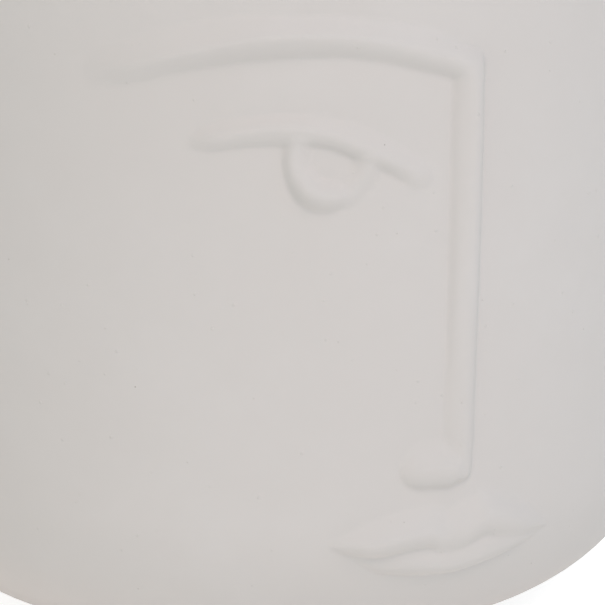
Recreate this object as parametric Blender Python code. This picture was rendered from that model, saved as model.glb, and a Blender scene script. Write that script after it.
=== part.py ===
"""Face planter: a ceramic pot whose front carries a face drawn in raised, half-round lines.

The pot is one casting with its foot ring, rim, drain hole and face. A rubber plug closes the hole
from below, a plastic net lies over it inside in a shallow seat, and four round pads keep the foot
ring off the table.
Metres, +Z up. The origin is on the pot's axis at table level, and the face looks along -Y.
"""
from math import acos, asin, ceil, cos, pi, radians, sin, tan

import bmesh
import bpy
import numpy as np

MM = 0.001

# Driving dimensions of the pot
OVERALL_HEIGHT = 198.0 * MM       # table to the top of the rim
WALL_RADIUS = 98.5 * MM           # outer radius where the wall meets the rounded bottom
WALL_DRAFT = radians(1.3)         # the wall leans out by this, so that the casting leaves its mould
WALL_THICKNESS = 6.5 * MM
BOTTOM_ROUND = 41.6 * MM          # radius of the rounded bottom, seen from the side
INSIDE_ROUND = 32.0 * MM          # radius between the inside wall and the floor
FLOOR_THICKNESS = 8.0 * MM
FOOT_RING_RADIUS = 56.0 * MM
FOOT_RING_WIDTH = 12.0 * MM
FOOT_RING_DROP = 3.2 * MM         # how far the ring stands below the rounded bottom
FOOT_RING_EDGE = 1.0 * MM         # rounding of the ring's two lower edges
RECESS_DEPTH = 7.2 * MM           # hollow inside the foot ring
DRAIN_HOLE_RADIUS = 10.0 * MM
DRAIN_HOLE_EDGE = 1.0 * MM        # slope at the hole's upper edge, so that water runs in

# Pads, plug and net
CLEARANCE = 0.3 * MM              # between pieces that lie or fit against each other
PAD_COUNT = 4
PAD_RADIUS = 5.0 * MM
PAD_THICKNESS = 2.0 * MM
PAD_EDGE = 0.4 * MM
PLUG_FLANGE_RADIUS = 15.0 * MM
PLUG_FLANGE_THICKNESS = 2.2 * MM
PLUG_TAPER = 0.5 * MM             # how much slimmer the plug is at its upper end
PLUG_BELOW_SEAT = 1.0 * MM        # the plug ends this far below the seat of the net
PLUG_EDGE = 0.6 * MM
TONGUE_WIDTH = 15.0 * MM
TONGUE_THICKNESS = 3.0 * MM
TONGUE_DROP = 4.6 * MM            # how far the pull tongue hangs below the flange
NET_RADIUS = 23.0 * MM
NET_THICKNESS = 1.2 * MM
NET_RIM_WIDTH = 2.4 * MM
NET_RIM_THICKNESS = 1.8 * MM
NET_PITCH = 4.0 * MM              # one strand to the next
NET_STRAND = 1.2 * MM
NET_SEAT_DEPTH = 0.8 * MM         # a shallow seat in the floor keeps the net over the hole
NET_SEAT_MARGIN = 1.5 * MM        # how much wider the seat is than the net

# The face. Each raised line is a list of rows (across, up, left, right, height) in millimetres on
# the unrolled wall: a point on the line's crest, measured from the pot's front centre line and
# from the face's middle height, how far the line reaches to either side of its crest, seen along
# the way it runs, and how far the crest stands out of the wall. Its two ends are drawn in over the
# lengths named ..._ENDS, in millimetres too. Sections stand square to their line, but those of the
# lips stand upright. The brow bends round a corner into the nose. The eye is an open ring under
# the lid, whose inner side slopes gently in like a dish.
FACE_LIFT = 14.0 * MM             # middle of the face above half of the pot's height
LINE_ROOT = 1.2 * MM              # how deep a line's base is set into the wall
LINE_STEP = 6.0 * MM              # longest stretch of a line between two of its sections
LINE_TURN = radians(15)           # most that a line turns between two of its sections
LINE_SAMPLE = 0.5 * MM            # how finely a line is read to find its turns
CREST_STEPS = 6                   # flats across a line's rounded top
END_STEPS = 4                     # sections in a line's rounded end
BLUNT_END = 0.15                  # share of its size that a line keeps at its very end
BROW_AND_NOSE_ENDS = (5.4, 3.0)
NOSE_TIP_ENDS = (5.5, 3.0)
EYELID_ENDS = (7.2, 4.6)
PLAIN_ENDS = (1.0, 1.0)

BROW = [
    (-39.6, 35.2, 3.4, 1.7, 0.4),
    (-35.9, 38.3, 5.3, 3.1, 0.6),
    (-29.7, 40.6, 6.3, 4.0, 1.6),
    (-21.1, 43.8, 6.2, 4.5, 2.4),
    (-10.9, 46.7, 5.9, 5.3, 2.9),
    (-0.1, 49.0, 5.4, 6.0, 3.4),
    (10.3, 49.4, 4.4, 5.9, 3.4),
    (20.0, 48.7, 4.4, 5.6, 2.9),
    (30.3, 46.4, 4.6, 5.2, 2.7),
    (38.7, 43.6, 5.0, 4.9, 2.6),
]
CORNER = [
    (45.0, 41.4, 3.8, 4.7, 2.7),
    (46.8, 40.4, 4.1, 4.5, 2.9),
    (48.3, 38.9, 4.8, 4.3, 3.0),
    (49.0, 37.1, 4.0, 4.4, 3.1),
    (49.3, 35.1, 3.4, 4.6, 3.1),
]
NOSE = [
    (49.4, 28.3, 3.3, 4.8, 3.1),
    (49.3, 10.0, 3.3, 4.6, 2.8),
    (49.1, -19.6, 3.2, 4.4, 2.4),
    (48.9, -39.6, 3.0, 4.8, 2.0),
    (48.7, -52.0, 3.1, 4.6, 1.9),
    (48.5, -60.6, 3.0, 4.2, 1.8),
]
NOSE_TIP = [
    (33.0, -57.2, 4.8, 4.6, 1.7),
    (39.6, -56.0, 6.6, 5.2, 2.4),
    (43.8, -56.2, 7.0, 5.2, 2.7),
    (47.0, -56.8, 6.5, 4.8, 2.5),
    (49.0, -56.8, 5.0, 4.3, 2.0),
]
EYELID = [
    (-16.5, 23.2, 3.4, 2.7, 1.1),
    (-7.0, 26.0, 3.4, 3.5, 1.8),
    (2.4, 27.6, 3.0, 4.4, 2.1),
    (9.5, 27.4, 3.1, 4.6, 2.3),
    (14.4, 26.3, 3.6, 3.7, 2.1),
    (20.1, 24.2, 4.1, 3.5, 2.1),
    (24.6, 21.8, 4.4, 3.5, 2.2),
    (29.5, 19.2, 4.2, 3.1, 1.9),
    (34.5, 16.2, 3.8, 3.3, 1.4),
    (40.3, 12.3, 3.3, 4.0, 0.6),
]
EYE = [
    (8.2, 25.7, 4.2, 2.6, 1.6),
    (7.6, 19.3, 4.1, 2.4, 1.7),
    (7.9, 17.2, 4.1, 2.6, 1.8),
    (8.7, 15.2, 4.1, 3.0, 2.2),
    (10.0, 13.4, 4.1, 3.4, 2.6),
    (11.8, 12.1, 4.1, 3.8, 2.8),
    (13.8, 11.3, 4.1, 4.1, 2.7),
    (15.9, 11.0, 4.0, 4.0, 2.3),
    (18.1, 11.3, 3.9, 3.7, 1.8),
    (20.1, 12.1, 3.8, 3.5, 1.3),
    (21.8, 13.4, 3.6, 3.6, 1.0),
    (23.1, 15.2, 3.5, 3.7, 1.0),
    (23.9, 17.2, 3.7, 3.8, 1.3),
    (24.2, 19.3, 4.0, 3.6, 1.4),
    (24.4, 21.0, 4.1, 3.2, 1.5),
]
UPPER_LIP = [
    (16.3, -73.5, 1.5, 0.8, 0.4),
    (21.4, -73.2, 3.5, 2.9, 1.8),
    (26.7, -72.8, 5.2, 4.5, 3.0),
    (33.7, -71.6, 5.9, 5.0, 3.1),
    (41.4, -71.6, 6.5, 5.0, 2.5),
    (44.7, -73.2, 7.0, 5.1, 2.0),
    (49.9, -72.1, 7.1, 5.5, 2.5),
    (54.9, -70.1, 6.8, 5.4, 2.8),
    (61.5, -71.7, 6.1, 4.9, 2.5),
    (67.8, -74.0, 5.0, 3.5, 1.7),
    (72.1, -75.3, 3.1, 1.9, 0.8),
    (76.0, -76.7, 0.8, 0.6, 0.4),
]
LOWER_LIP = [
    (22.1, -76.7, 1.0, 0.6, 0.4),
    (28.1, -79.2, 3.2, 2.2, 0.9),
    (34.7, -79.5, 5.0, 3.4, 1.7),
    (40.4, -80.2, 5.6, 3.5, 2.0),
    (46.3, -81.0, 5.8, 3.1, 2.0),
    (49.9, -80.9, 6.5, 3.2, 2.0),
    (54.3, -79.9, 6.7, 3.5, 2.0),
    (60.1, -78.8, 6.0, 3.5, 1.8),
    (64.3, -78.5, 4.6, 2.7, 1.5),
    (68.4, -78.4, 2.7, 1.6, 0.9),
    (73.0, -77.5, 0.7, 0.9, 0.4),
]

# Smoothness of the round shapes
POT_STEPS = 72
SMALL_STEPS = 36
PAD_STEPS = 18
FLAT_DEPTH = 0.1 * MM             # how far a flat along a rounded profile may cut inside it
SHARP_ANGLE = radians(35)

# Heights that follow from the sizes above
ring_bottom_z = PAD_THICKNESS + CLEARANCE
belly_z = ring_bottom_z + FOOT_RING_DROP
recess_z = ring_bottom_z + RECESS_DEPTH
floor_z = recess_z + FLOOR_THICKNESS
net_seat_z = floor_z - NET_SEAT_DEPTH
wall_foot_z = belly_z + BOTTOM_ROUND
face_middle_z = OVERALL_HEIGHT / 2 + FACE_LIFT
ring_middle_radius = FOOT_RING_RADIUS - FOOT_RING_WIDTH / 2


def clear_scene():
    for thing in list(bpy.data.objects):
        bpy.data.objects.remove(thing, do_unlink=True)


def make_material(name, colour, roughness):
    material = bpy.data.materials.new(name)
    material.use_nodes = True
    shader = material.node_tree.nodes["Principled BSDF"]
    shader.inputs["Base Color"].default_value = (*colour, 1.0)
    shader.inputs["Roughness"].default_value = roughness
    shader.inputs["Metallic"].default_value = 0.0
    return material


def make_object(name, bm, material, smooth=True):
    bmesh.ops.recalc_face_normals(bm, faces=bm.faces)
    mesh = bpy.data.meshes.new(name)
    bm.to_mesh(mesh)
    bm.free()
    if smooth:
        mesh.shade_smooth()
        mesh.set_sharp_from_angle(angle=SHARP_ANGLE)
    mesh.materials.append(material)
    thing = bpy.data.objects.new(name, mesh)
    bpy.context.scene.collection.objects.link(thing)
    return thing


def arc(centre_r, centre_z, radius, start, end):
    """Points of a round stretch of a profile, from one angle to another in degrees."""
    flat_degrees = 2 * acos(1 - FLAT_DEPTH / max(radius, FLAT_DEPTH)) * 180 / pi
    steps = max(2, ceil(abs(end - start) / flat_degrees))
    angles = np.radians(np.linspace(start, end, steps + 1))
    return [(centre_r + radius * cos(a), centre_z + radius * sin(a)) for a in angles]


def turned(name, profile, steps, material):
    """Turn a closed profile of (radius, height) points about the Z axis, as on a wheel."""
    bm = bmesh.new()
    corners = [bm.verts.new((r, 0.0, z)) for r, z in profile]
    edges = [bm.edges.new((a, b)) for a, b in zip(corners, corners[1:] + corners[:1])
             if a.co.x > 0 or b.co.x > 0]
    bmesh.ops.spin(bm, geom=corners + edges, cent=(0, 0, 0), axis=(0, 0, 1),
                   angle=2 * pi, steps=steps, use_merge=True)
    bmesh.ops.remove_doubles(bm, verts=bm.verts, dist=0.001 * MM)
    return make_object(name, bm, material)


def add_boolean(thing, other, operation):
    """Add or cut with a second solid, which stays in the file as a hidden wire guide."""
    other.hide_render = True
    other.display_type = "WIRE"
    modifier = thing.modifiers.new(f"{operation.lower()} {other.name}", "BOOLEAN")
    modifier.operation = operation
    modifier.solver = "EXACT"
    modifier.object = other


def outer_radius(z):
    """Outer radius of the leaning wall, above the rounded bottom."""
    return WALL_RADIUS + (z - wall_foot_z) * tan(WALL_DRAFT)


def corner_centre_radius(wall_radius, rounding):
    """Radius at which an arc is centred that runs from a flat into the leaning wall."""
    return wall_radius - rounding / cos(WALL_DRAFT)


def pot_profile():
    draft = WALL_DRAFT * 180 / pi
    hole, ring = DRAIN_HOLE_RADIUS, FOOT_RING_RADIUS
    ring_inside, edge = FOOT_RING_RADIUS - FOOT_RING_WIDTH, FOOT_RING_EDGE
    underside = [(hole, recess_z), (ring_inside, recess_z)]
    underside += arc(ring_inside + edge, ring_bottom_z + edge, edge, 180, 270)
    underside += arc(ring - edge, ring_bottom_z + edge, edge, -90, 0)

    belly_centre = corner_centre_radius(WALL_RADIUS, BOTTOM_ROUND)
    foot_angle = -90.0
    if ring > belly_centre:
        foot_angle += asin((ring - belly_centre) / BOTTOM_ROUND) * 180 / pi
    else:
        underside.append((ring, belly_z))
    outside = arc(belly_centre, wall_foot_z, BOTTOM_ROUND, foot_angle, -draft)

    lip_radius = WALL_THICKNESS / 2
    rim_z = OVERALL_HEIGHT - lip_radius
    rim_centre = outer_radius(rim_z) - lip_radius / cos(WALL_DRAFT)
    rim = arc(rim_centre, rim_z, lip_radius, -draft, 90)
    rim += arc(rim_centre, rim_z, lip_radius, 90, 180 - draft)[1:]

    inside_z = floor_z + INSIDE_ROUND
    inside_wall = outer_radius(inside_z) - WALL_THICKNESS / cos(WALL_DRAFT)
    inside_centre = corner_centre_radius(inside_wall, INSIDE_ROUND)
    inside = arc(inside_centre, inside_z, INSIDE_ROUND, -draft, -90)

    seat = NET_RADIUS + NET_SEAT_MARGIN
    net_seat = [(seat + NET_SEAT_DEPTH / 2, floor_z), (seat, net_seat_z)]
    hole_edge = [(hole + DRAIN_HOLE_EDGE, net_seat_z), (hole, net_seat_z - DRAIN_HOLE_EDGE)]
    return underside + outside + rim + inside + net_seat + hole_edge


def wall_point(across, up, height):
    """Place of a point of the unrolled face: on the wall, then out of it by its height."""
    turn_z = wall_foot_z - BOTTOM_ROUND * sin(WALL_DRAFT)
    turn_up = (turn_z - face_middle_z) / cos(WALL_DRAFT)
    if up > turn_up:
        z = face_middle_z + up * cos(WALL_DRAFT)
        radius = outer_radius(z)
        slope = -WALL_DRAFT
    else:
        slope = -WALL_DRAFT - (turn_up - up) / BOTTOM_ROUND
        radius = corner_centre_radius(WALL_RADIUS, BOTTOM_ROUND) + BOTTOM_ROUND * cos(slope)
        z = wall_foot_z + BOTTOM_ROUND * sin(slope)
    radius += height * cos(slope)
    z += height * sin(slope)
    turn = across / outer_radius(face_middle_z)
    return (radius * sin(turn), -radius * cos(turn), z)


def smooth_rows(rows, places):
    """Read a line's rows at any places along it, on a smooth curve through all of them."""
    rows = np.array(rows) * MM
    knots = np.concatenate([[0], np.cumsum(np.hypot(*np.diff(rows[:, :2], axis=0).T))])
    slopes = np.gradient(rows, knots, axis=0)
    first = np.clip(np.searchsorted(knots, places, side="right") - 1, 0, len(knots) - 2)
    span = (knots[first + 1] - knots[first])[:, None]
    t = (places - knots[first])[:, None] / span
    return ((2 * t**3 - 3 * t**2 + 1) * rows[first] + (t**3 - 2 * t**2 + t) * span * slopes[first]
            + (3 * t**2 - 2 * t**3) * rows[first + 1] + (t**3 - t**2) * span * slopes[first + 1])


def section_places(rows):
    """Places along a line for its sections, closer together where the line turns."""
    crest = np.array(rows)[:, :2] * MM
    length = np.hypot(*np.diff(crest, axis=0).T).sum()
    fine = np.linspace(0, length, ceil(length / LINE_SAMPLE) + 1)
    runs = np.gradient(smooth_rows(rows, fine)[:, :2], fine, axis=0)
    turns = np.abs(np.diff(np.unwrap(np.arctan2(runs[:, 1], runs[:, 0]))))
    share = np.concatenate([[0], np.cumsum(np.diff(fine) / LINE_STEP + turns / LINE_TURN)])
    return np.interp(np.linspace(0, share[-1], ceil(share[-1]) + 1), share, fine)


def raised_line(name, rows, material, ends=PLAIN_ENDS, upright=False):
    """A half-round ridge along the rows, its two ends drawn in over the given lengths."""
    places = section_places(rows)
    length = places[-1]
    start_round, end_round = ends[0] * MM, ends[1] * MM
    inner = places[(places > start_round) & (places < length - end_round)]
    swing = np.radians(np.linspace(0, 90, END_STEPS + 1))
    places = np.concatenate([start_round * (1 - np.cos(swing)), inner,
                             length - end_round * (1 - np.cos(swing[::-1]))])
    fullness = np.concatenate([np.sin(swing), np.ones(len(inner)), np.sin(swing[::-1])])
    fullness = np.maximum(fullness, BLUNT_END)
    table = smooth_rows(rows, places)
    runs = np.gradient(table[:, :2], places, axis=0)
    runs /= np.hypot(*runs.T)[:, None]

    bm = bmesh.new()
    rings = []
    for (across, up, left, right, height), run, full in zip(table, runs, fullness):
        side = (0.0, 1.0) if upright else (-run[1], run[0])
        section = [(-right * full, -LINE_ROOT)]
        for place in np.linspace(-1, 1, CREST_STEPS + 1):
            reach = left if place > 0 else right
            section.append((place * reach * full, (1 - place**2) * height * full))
        section.append((left * full, -LINE_ROOT))
        rings.append([bm.verts.new(wall_point(across + side[0] * away, up + side[1] * away, out))
                      for away, out in section])
    for one, two in zip(rings, rings[1:]):
        for k in range(len(one)):
            nxt = (k + 1) % len(one)
            bm.faces.new((one[k], one[nxt], two[nxt], two[k]))
    bm.faces.new(rings[0])
    bm.faces.new(rings[-1])
    return make_object(name, bm, material)


def build_pot(ceramic):
    pot = turned("pot", pot_profile(), POT_STEPS, ceramic)
    lines = [
        raised_line("line_brow_and_nose", BROW + CORNER + NOSE, ceramic, BROW_AND_NOSE_ENDS),
        raised_line("line_nose_tip", NOSE_TIP, ceramic, NOSE_TIP_ENDS),
        raised_line("line_eyelid", EYELID, ceramic, EYELID_ENDS),
        raised_line("line_eye_ring", EYE, ceramic),
        raised_line("line_upper_lip", UPPER_LIP, ceramic, upright=True),
        raised_line("line_lower_lip", LOWER_LIP, ceramic, upright=True),
    ]
    for line in lines:
        add_boolean(pot, line, "UNION")
    return pot


def build_foot_pads(felt):
    """Round pads, spread evenly under the middle of the foot ring."""
    edge, radius = PAD_EDGE, PAD_RADIUS
    profile = [(0.0, 0.0)] + arc(radius - edge, edge, edge, -90, 0) + [(radius, PAD_THICKNESS),
                                                                      (0.0, PAD_THICKNESS)]
    for index in range(PAD_COUNT):
        pad = turned(f"foot_pad_{index + 1}", profile, PAD_STEPS, felt)
        angle = 2 * pi * (index + 0.5) / PAD_COUNT
        pad.location = (ring_middle_radius * cos(angle), ring_middle_radius * sin(angle), 0.0)


def build_drain_plug(rubber):
    """A tapered stopper with a flange under the recess and a tongue to pull it out by."""
    flange_top = recess_z - CLEARANCE
    flange_bottom = flange_top - PLUG_FLANGE_THICKNESS
    plug_top = net_seat_z - PLUG_BELOW_SEAT
    shank = DRAIN_HOLE_RADIUS - CLEARANCE
    flange, edge = PLUG_FLANGE_RADIUS, PLUG_EDGE
    profile = [(0.0, flange_bottom)]
    profile += arc(flange - edge, flange_bottom + edge, edge, -90, 0)
    profile += arc(flange - edge, flange_top - edge, edge, 0, 90)
    profile.append((shank, flange_top))
    profile += arc(shank - PLUG_TAPER - edge, plug_top - edge, edge, 0, 90)
    profile.append((0.0, plug_top))
    plug = turned("drain_plug", profile, SMALL_STEPS, rubber)
    add_boolean(plug, pull_tongue(flange_bottom, rubber), "UNION")


def pull_tongue(top_z, rubber):
    """A flat tab with a half-round lower edge that hangs from the flange."""
    root = PLUG_FLANGE_THICKNESS / 2
    corner = TONGUE_DROP * 0.75
    half = TONGUE_WIDTH / 2
    outline = [(-half, top_z + root)]
    outline += arc(-half + corner, top_z - TONGUE_DROP + corner, corner, 180, 270)
    outline += arc(half - corner, top_z - TONGUE_DROP + corner, corner, -90, 0)
    outline.append((half, top_z + root))
    bm = bmesh.new()
    face = bm.faces.new([bm.verts.new((x, -TONGUE_THICKNESS / 2, z)) for x, z in outline])
    swept = bmesh.ops.extrude_face_region(bm, geom=[face])
    moved = [item for item in swept["geom"] if isinstance(item, bmesh.types.BMVert)]
    bmesh.ops.translate(bm, verts=moved, vec=(0, TONGUE_THICKNESS, 0))
    return make_object("guide_pull_tongue", bm, rubber)


def build_drain_screen(plastic):
    """A loose round net in its seat: a square lattice cut to a disc, in a slightly thicker rim."""
    net_z = net_seat_z + CLEARANCE
    outer, inner = NET_RADIUS, NET_RADIUS - NET_RIM_WIDTH
    edge = NET_RIM_THICKNESS / 4
    rim_profile = [(inner, net_z)]
    rim_profile += arc(outer - edge, net_z + edge, edge, -90, 0)
    rim_profile += arc(outer - edge, net_z + NET_RIM_THICKNESS - edge, edge, 0, 90)
    rim_profile.append((inner, net_z + NET_RIM_THICKNESS))
    screen = turned("drain_screen", rim_profile, SMALL_STEPS, plastic)

    lattice = net_lattice(net_z + (NET_RIM_THICKNESS - NET_THICKNESS) / 2, plastic)
    middle = inner + NET_RIM_WIDTH / 2
    disc = turned("guide_net_disc", [(0.0, net_z - MM), (middle, net_z - MM),
                                     (middle, net_z + NET_RIM_THICKNESS + MM),
                                     (0.0, net_z + NET_RIM_THICKNESS + MM)], SMALL_STEPS, plastic)
    add_boolean(lattice, disc, "INTERSECT")
    add_boolean(screen, lattice, "UNION")


def net_lattice(bottom_z, plastic):
    """A square sheet with square gaps in rows and columns, wider than the net's rim."""
    cells = ceil(NET_RADIUS / NET_PITCH) + 1
    lines = []
    for index in range(-cells, cells + 1):
        lines += [index * NET_PITCH - NET_STRAND / 2, index * NET_PITCH + NET_STRAND / 2]
    bm = bmesh.new()
    grid = [[bm.verts.new((x, y, bottom_z)) for y in lines] for x in lines]
    for i in range(len(lines) - 1):
        for j in range(len(lines) - 1):
            in_gap = i % 2 == 1 and j % 2 == 1
            if not in_gap:
                bm.faces.new((grid[i][j], grid[i + 1][j], grid[i + 1][j + 1], grid[i][j + 1]))
    swept = bmesh.ops.extrude_face_region(bm, geom=list(bm.faces))
    moved = [item for item in swept["geom"] if isinstance(item, bmesh.types.BMVert)]
    bmesh.ops.translate(bm, verts=moved, vec=(0, 0, NET_THICKNESS))
    return make_object("guide_net_lattice", bm, plastic, smooth=False)


clear_scene()
build_pot(make_material("glazed_ceramic", (0.64, 0.62, 0.60), 0.55))
build_foot_pads(make_material("pad_felt", (0.16, 0.15, 0.14), 0.95))
build_drain_plug(make_material("plug_rubber", (0.05, 0.05, 0.05), 0.7))
build_drain_screen(make_material("net_plastic", (0.03, 0.03, 0.03), 0.5))
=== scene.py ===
# %% [markdown]
# # A ceramic planter with a face on its front
#
# The planter is a plain round pot in a matte, off-white glaze. It was cast in a mould, and half a
# face was carved into the mould, so the face stands out of the wall in soft, half-round lines: a
# brow that runs down into the nose, an eyelid over a round eye, and a pair of lips.
#
# The construction is already settled and arrives as a frame of solids. This script gives each of
# them its looks: a fine mesh for the casting with its face, then the glaze, the rubber plug, the
# plastic net, the felt pads, and last the table and the light.

from math import ceil, cos, pi, radians, sin, tan

import bmesh
import bpy
import numpy as np
from mathutils import Matrix, Vector, noise


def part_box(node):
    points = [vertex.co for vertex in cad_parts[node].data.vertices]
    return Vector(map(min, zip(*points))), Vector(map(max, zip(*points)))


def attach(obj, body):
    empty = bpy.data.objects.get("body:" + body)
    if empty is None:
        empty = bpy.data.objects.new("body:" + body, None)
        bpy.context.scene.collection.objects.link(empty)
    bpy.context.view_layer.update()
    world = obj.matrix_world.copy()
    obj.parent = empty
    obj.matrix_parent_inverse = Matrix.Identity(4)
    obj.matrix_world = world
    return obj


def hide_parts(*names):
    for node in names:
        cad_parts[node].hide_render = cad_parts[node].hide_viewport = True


MM = 0.001

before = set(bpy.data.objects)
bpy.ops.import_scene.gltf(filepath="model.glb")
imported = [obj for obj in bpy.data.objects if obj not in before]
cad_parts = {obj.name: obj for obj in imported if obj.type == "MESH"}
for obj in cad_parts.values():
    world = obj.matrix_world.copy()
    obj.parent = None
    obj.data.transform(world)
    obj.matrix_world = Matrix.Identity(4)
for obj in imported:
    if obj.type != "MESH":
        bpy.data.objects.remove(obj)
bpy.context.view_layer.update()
print("nodes in the frame:", ", ".join(sorted(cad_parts)))

# %% [markdown]
# ## The camera
#
# The view is a close one: the wall fills the picture, and only the pot's rounded bottom shows
# against the background. A close view could be had by moving the camera in or by using a long
# lens. The curve along the pot's bottom tells which: seen from near, it would bend much more at
# the sides. It fits a camera 1.3 metres away that looks 16 degrees down through a long lens.

# %% Camera
VIEW_POINT = Vector((9.6, -100.0, 99.3)) * MM
VIEW_DISTANCE = 1.3
VIEW_DOWN = radians(16)
LENS_MM = 340.0
SENSOR_MM = 36.0


def make_camera():
    camera = bpy.data.objects.new("camera", bpy.data.cameras.new("camera"))
    bpy.context.scene.collection.objects.link(camera)
    camera.data.sensor_width = SENSOR_MM
    camera.data.lens = LENS_MM
    camera.data.clip_start = 0.05
    camera.data.clip_end = 30.0
    back = Vector((0.0, -cos(VIEW_DOWN), sin(VIEW_DOWN)))
    camera.location = VIEW_POINT + back * VIEW_DISTANCE
    camera.rotation_euler = (pi / 2 - VIEW_DOWN, 0.0, 0.0)
    bpy.context.scene.camera = camera
    return camera


camera = make_camera()
print("camera at", tuple(round(c, 3) for c in camera.location), "m")

# %% [markdown]
# ## The sizes of the casting
#
# The overall size comes from the frame. The other sizes are the maker's own: a wall 6.5 mm thick
# that leans out by a little more than a degree, so that the casting leaves its mould, and a
# rounded bottom that stands on a low foot ring.

# %% Sizes
pot_low, pot_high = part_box("pot")
plug_low, plug_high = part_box("drain_plug")
net_low, net_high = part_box("drain_screen")

RING_BOTTOM = pot_low.z
RIM_TOP = pot_high.z
WALL_RADIUS = 98.5 * MM
WALL_DRAFT = radians(1.3)
WALL_THICKNESS = 6.5 * MM
BOTTOM_ROUND = 41.6 * MM
INSIDE_ROUND = 32.0 * MM
FOOT_RING_RADIUS = 56.0 * MM
FOOT_RING_WIDTH = 12.0 * MM
FOOT_RING_EDGE = 1.0 * MM
FOOT_RING_HEIGHT = 3.2 * MM
RECESS_HEIGHT = 7.2 * MM
DRAIN_HOLE_RADIUS = 10.0 * MM
DRAIN_HOLE_EDGE = 1.0 * MM
NET_SEAT_RADIUS = 24.5 * MM
NET_SEAT_DEPTH = 0.8 * MM
CLEARANCE = 0.3 * MM
FACE_LIFT = 14.0 * MM

belly_z = RING_BOTTOM + FOOT_RING_HEIGHT
recess_z = RING_BOTTOM + RECESS_HEIGHT
net_seat_z = net_low.z - CLEARANCE
floor_z = net_seat_z + NET_SEAT_DEPTH
wall_foot_z = belly_z + BOTTOM_ROUND
face_middle_z = RIM_TOP / 2 + FACE_LIFT
print(f"pot {(pot_high.x - pot_low.x) / MM:.1f} mm across and {RIM_TOP / MM:.1f} mm high")

# %% [markdown]
# ## The wall, unrolled
#
# The face was drawn on a flat sheet and laid round the pot. So every point of the wall has two
# flat coordinates: how far it is across from the front centre line, and how far up from the
# face's middle, measured along the wall and on round the bottom. This function turns the second
# one into a place in the pot's profile, and says which way the wall faces there.

# %% Profile of the wall
turn_z = wall_foot_z - BOTTOM_ROUND * sin(WALL_DRAFT)
turn_up = (turn_z - face_middle_z) / cos(WALL_DRAFT)


def outer_radius(z):
    """Radius of the straight wall's outside at a height."""
    return WALL_RADIUS + (z - wall_foot_z) * tan(WALL_DRAFT)


def wall_profile(up):
    """Radius, height and slope of the outside at distances up the wall from the face's middle."""
    slope = -WALL_DRAFT - np.maximum(turn_up - up, 0) / BOTTOM_ROUND
    round_centre = WALL_RADIUS - BOTTOM_ROUND / cos(WALL_DRAFT)
    straight_z = face_middle_z + up * cos(WALL_DRAFT)
    round_radius = round_centre + BOTTOM_ROUND * np.cos(slope)
    round_z = wall_foot_z + BOTTOM_ROUND * np.sin(slope)
    straight = up > turn_up
    radius = np.where(straight, outer_radius(straight_z), round_radius)
    z = np.where(straight, straight_z, round_z)
    return radius, z, slope


wrap_radius = outer_radius(face_middle_z)
print(f"the face is laid round a radius of {wrap_radius / MM:.1f} mm")

# %% [markdown]
# ## The lines of the face
#
# Each line is a short table. A row gives a point on the line's crest (across, up), how far the
# line reaches to its left and to its right as it runs, and how far the crest stands out, all in
# millimetres. Four plain numbers follow for the shape of the section, left and right: first how
# round each side is, from 1.1 for a flat slope to 2 for a bead, and then how softly it meets the
# wall, from 0.5 for a crisp edge to 1.5 for one that runs out.
#
# A smooth curve is read through the rows, so a handful is enough for a whole brow. Sculpting with
# a brush would be quicker for one face, but a table can be corrected by half a millimetre, and it
# gives the same face on every run.

# %% Brow and nose
BROW = [
    (-39.6, 35.2, 3.4, 1.7, 0.1, 1.40, 1.53, 0.90, 0.95),
    (-35.9, 38.3, 5.3, 3.1, 0.6, 1.20, 1.54, 0.94, 0.97),
    (-29.7, 40.6, 6.3, 4.0, 1.6, 1.10, 1.48, 1.03, 1.02),
    (-21.1, 43.8, 6.2, 4.5, 2.4, 1.10, 1.43, 1.17, 1.06),
    (-10.9, 46.7, 5.9, 5.3, 2.9, 1.10, 1.47, 1.24, 1.07),
    (-0.1, 49.0, 5.4, 6.0, 3.4, 1.10, 1.59, 1.34, 0.99),
    (10.3, 49.4, 4.4, 5.9, 3.4, 1.10, 1.52, 1.46, 1.03),
    (20.0, 48.7, 4.4, 5.6, 2.9, 1.10, 1.70, 1.47, 1.07),
    (30.3, 46.4, 4.6, 5.2, 2.7, 1.22, 1.79, 1.40, 1.11),
    (38.7, 43.6, 5.0, 4.9, 2.6, 1.41, 1.84, 1.31, 1.06),
]
CORNER = [
    (45.0, 41.4, 3.8, 4.7, 2.7, 1.50, 1.80, 1.10, 1.00),
    (46.8, 40.4, 4.1, 4.5, 2.9, 1.60, 1.80, 0.95, 0.95),
    (48.3, 38.9, 4.8, 4.3, 3.0, 1.80, 1.80, 0.75, 0.90),
    (49.0, 37.1, 4.0, 4.4, 3.1, 1.95, 1.70, 0.65, 0.85),
    (49.3, 35.1, 3.4, 4.6, 3.1, 1.80, 1.55, 0.56, 0.80),
]
NOSE = [
    (49.5, 28.3, 3.2, 4.9, 3.2, 1.60, 1.40, 0.50, 0.76),
    (49.5, 10.0, 3.1, 4.8, 3.0, 1.60, 1.55, 0.50, 0.70),
    (49.2, -19.6, 3.1, 4.5, 2.5, 1.60, 1.90, 0.50, 0.60),
    (48.9, -39.6, 3.0, 4.8, 2.0, 1.70, 1.60, 0.52, 0.85),
    (48.7, -52.0, 3.1, 4.6, 1.9, 1.80, 1.50, 0.58, 1.00),
    (48.5, -60.6, 3.0, 4.2, 1.8, 2.00, 1.50, 0.65, 1.00),
]
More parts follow.
